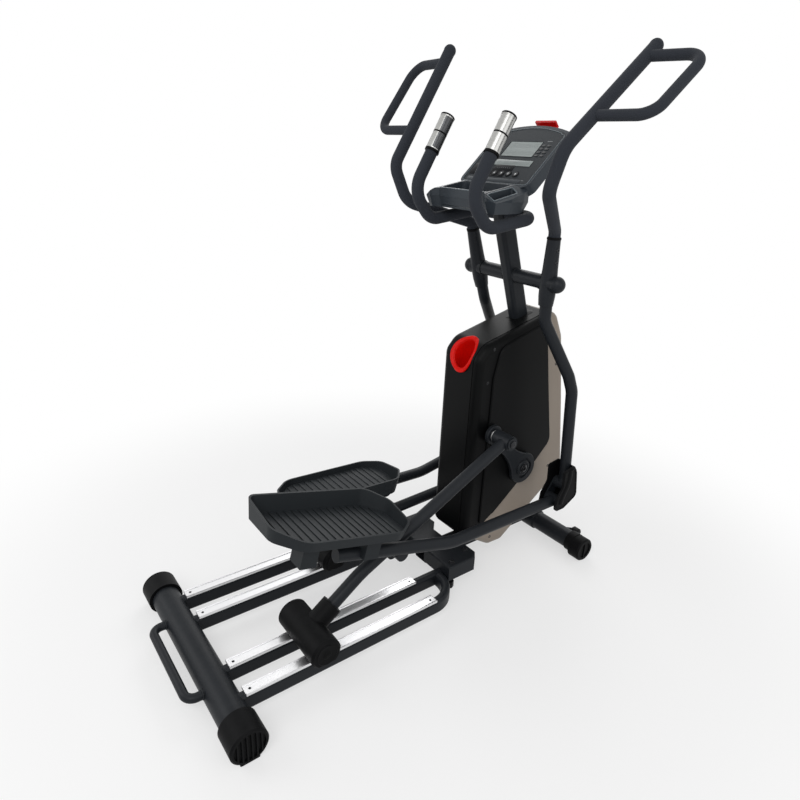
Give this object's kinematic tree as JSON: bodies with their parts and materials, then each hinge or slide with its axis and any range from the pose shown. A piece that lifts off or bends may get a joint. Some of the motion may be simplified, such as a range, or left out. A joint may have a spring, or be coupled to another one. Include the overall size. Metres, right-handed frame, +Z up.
{
  "type": "elliptical trainer",
  "caption": "Elliptical cross trainer with slide rails, crank drive, swing arms with loop grips, pedal trays and a tilted console.",
  "frame": {"origin": "on the floor under the middle of the machine's bounding box", "axes": "+X forward from the rear tube to the console, +Y to the rider's left, +Z up"},
  "size_m": [1.5489, 0.9306, 1.6605],
  "materials": {
    "frame_black": "satin powder coat",
    "track_aluminium": "extruded, bright",
    "cap_black": "moulded, fine grain",
    "wheel_black": "moulded nylon",
    "tray_black": "moulded, fine grain",
    "grip_foam": "closed-cell foam sleeve",
    "sensor_metal": "polished sensor plates",
    "housing_black": "satin moulded",
    "band_white": "satin silver-white",
    "cup_red": "smooth gloss",
    "drive_metal": "dark",
    "belt_rubber": "ribbed",
    "console_grey": "satin slate grey",
    "panel_black": "printed panel",
    "screen_grey": "display window",
    "key_black": "soft-touch",
    "clip_red": "smooth gloss"
  },
  "bodies": {
    "frame": {"rear_stabilizer_tube": "frame_black", "front_stabilizer_tube": "frame_black", "main_frame": "frame_black", "mast": "frame_black", "swing_axle": "frame_black", "rail_inner_right": "frame_black", "rail_outer_right": "frame_black", "track_inner_right": "track_aluminium", "track_outer_right": "track_aluminium", "rear_end_cap_right": "cap_black", "front_end_cap_right": "cap_black", "pulse_sensor_right": "sensor_metal", "housing_shell_right": "housing_black", "front_band_right": "band_white", "rail_inner_left": "frame_black", "rail_outer_left": "frame_black", "track_inner_left": "track_aluminium", "track_outer_left": "track_aluminium", "rear_end_cap_left": "cap_black", "front_end_cap_left": "cap_black", "pulse_sensor_left": "sensor_metal", "housing_shell_left": "housing_black", "front_band_left": "band_white", "fixed_handlebar": "grip_foam", "spine_cover": "housing_black", "bottle_cup": "cup_red", "belt": "belt_rubber", "console_body": "console_grey", "console_tray": "console_grey", "console_face": "panel_black", "console_screen": "screen_grey", "media_clip": "clip_red"},
    "crank": {"crank_axle": "drive_metal", "crank_arm_left": "frame_black", "crank_arm_right": "frame_black"},
    "flywheel_body": {"flywheel": "drive_metal"},
    "slider_right": {"rod_right": "frame_black", "carriage_right": "cap_black"},
    "roller_pair_right": {"rollers_right": "wheel_black"},
    "swing_right": {"swing_arm_right": "frame_black", "swing_grip_right": "grip_foam", "joint_cover_right": "cap_black"},
    "pedal_right": {"pedal_arm_right": "frame_black", "pedal_tray_right": "tray_black"},
    "wheel_right": {"transport_wheel_right": "wheel_black"},
    "foot_right": {"levelling_foot_right": "wheel_black"},
    "slider_left": {"rod_left": "frame_black", "carriage_left": "cap_black"},
    "roller_pair_left": {"rollers_left": "wheel_black"},
    "swing_left": {"swing_arm_left": "frame_black", "swing_grip_left": "grip_foam", "joint_cover_left": "cap_black"},
    "pedal_left": {"pedal_arm_left": "frame_black", "pedal_tray_left": "tray_black"},
    "wheel_left": {"transport_wheel_left": "wheel_black"},
    "foot_left": {"levelling_foot_left": "wheel_black"},
    "key_1": {"console_key_1": "key_black"},
    "key_2": {"console_key_2": "key_black"},
    "key_3": {"console_key_3": "key_black"},
    "key_4": {"console_key_4": "key_black"}
  },
  "joints": [
    {"name": "crank_spin", "type": "hinge", "parent": "frame", "child": "crank", "pos_m": [0.435, 0, 0.348], "axis": [0, 1, 0], "continuous": true},
    {"name": "flywheel_spin", "type": "hinge", "parent": "frame", "child": "flywheel_body", "pos_m": [0.474, 0, 0.6], "axis": [0, 1, 0], "continuous": true},
    {"name": "rod_slide_right", "type": "slide", "parent": "frame", "child": "slider_right", "axis": [1, 0, 0], "range_m": [-0.139, 0.321]},
    {"name": "roller_turn_right", "type": "hinge", "parent": "slider_right", "child": "roller_pair_right", "pos_m": [-0.433, 0, 0.118], "axis": [0, 1, 0], "range_deg": [-226, 520]},
    {"name": "arm_swing_right", "type": "hinge", "parent": "frame", "child": "swing_right", "pos_m": [0.392, -0.152, 1.004], "axis": [0, 1, 0], "range_deg": [-26.3, 11.6]},
    {"name": "pedal_hinge_right", "type": "hinge", "parent": "swing_right", "child": "pedal_right", "pos_m": [0.484, -0.22, 0.262], "axis": [0, 1, 0], "range_deg": [-7.9, 17.6]},
    {"name": "transport_spin_right", "type": "hinge", "parent": "frame", "child": "wheel_right", "pos_m": [0.668, -0.203, 0.052], "axis": [0, 1, 0], "continuous": true},
    {"name": "foot_screw_right", "type": "hinge", "parent": "frame", "child": "foot_right", "pos_m": [0.101, -0.136, 0.05], "axis": [0, 0, 1], "continuous": true},
    {"name": "rod_slide_left", "type": "slide", "parent": "frame", "child": "slider_left", "axis": [1, 0, 0], "range_m": [-0.36, 0.1]},
    {"name": "roller_turn_left", "type": "hinge", "parent": "slider_left", "child": "roller_pair_left", "pos_m": [-0.212, 0, 0.118], "axis": [0, 1, 0], "range_deg": [-583, 163]},
    {"name": "arm_swing_left", "type": "hinge", "parent": "frame", "child": "swing_left", "pos_m": [0.392, 0.152, 1.004], "axis": [0, 1, 0], "range_deg": [-8.5, 29.5]},
    {"name": "pedal_hinge_left", "type": "hinge", "parent": "swing_left", "child": "pedal_left", "pos_m": [0.70879, 0.22, 0.32675], "axis": [0, 1, 0], "range_deg": [-19.7, 5.8]},
    {"name": "transport_spin_left", "type": "hinge", "parent": "frame", "child": "wheel_left", "pos_m": [0.668, 0.203, 0.052], "axis": [0, 1, 0], "continuous": true},
    {"name": "foot_screw_left", "type": "hinge", "parent": "frame", "child": "foot_left", "pos_m": [0.101, 0.136, 0.05], "axis": [0, 0, 1], "continuous": true},
    {"name": "key_press_1", "type": "slide", "parent": "frame", "child": "key_1", "axis": [0.6909, 0, -0.723], "range_m": [0, 0.0012], "stiffness_N_per_m": 600, "springref_m": -0.0005},
    {"name": "key_press_2", "type": "slide", "parent": "frame", "child": "key_2", "axis": [0.6909, 0, -0.723], "range_m": [0, 0.0012], "stiffness_N_per_m": 600, "springref_m": -0.0005},
    {"name": "key_press_3", "type": "slide", "parent": "frame", "child": "key_3", "axis": [0.6909, 0, -0.723], "range_m": [0, 0.0012], "stiffness_N_per_m": 600, "springref_m": -0.0005},
    {"name": "key_press_4", "type": "slide", "parent": "frame", "child": "key_4", "axis": [0.6909, 0, -0.723], "range_m": [0, 0.0012], "stiffness_N_per_m": 600, "springref_m": -0.0005}
  ],
  "couplings": [
    {"joint": "flywheel_spin", "follows": "crank_spin", "ratio": 5.4545},
    {"joint": "roller_turn_right", "follows": "rod_slide_right", "rad_per_m": 28.169},
    {"joint": "arm_swing_right", "follows": "rod_slide_right", "rad_per_m": -1.4085},
    {"joint": "pedal_hinge_right", "follows": "rod_slide_right", "rad_per_m": 0.9372},
    {"joint": "roller_turn_left", "follows": "rod_slide_left", "rad_per_m": 28.169},
    {"joint": "arm_swing_left", "follows": "rod_slide_left", "rad_per_m": -1.4085},
    {"joint": "pedal_hinge_left", "follows": "rod_slide_left", "rad_per_m": 0.9372}
  ]
}
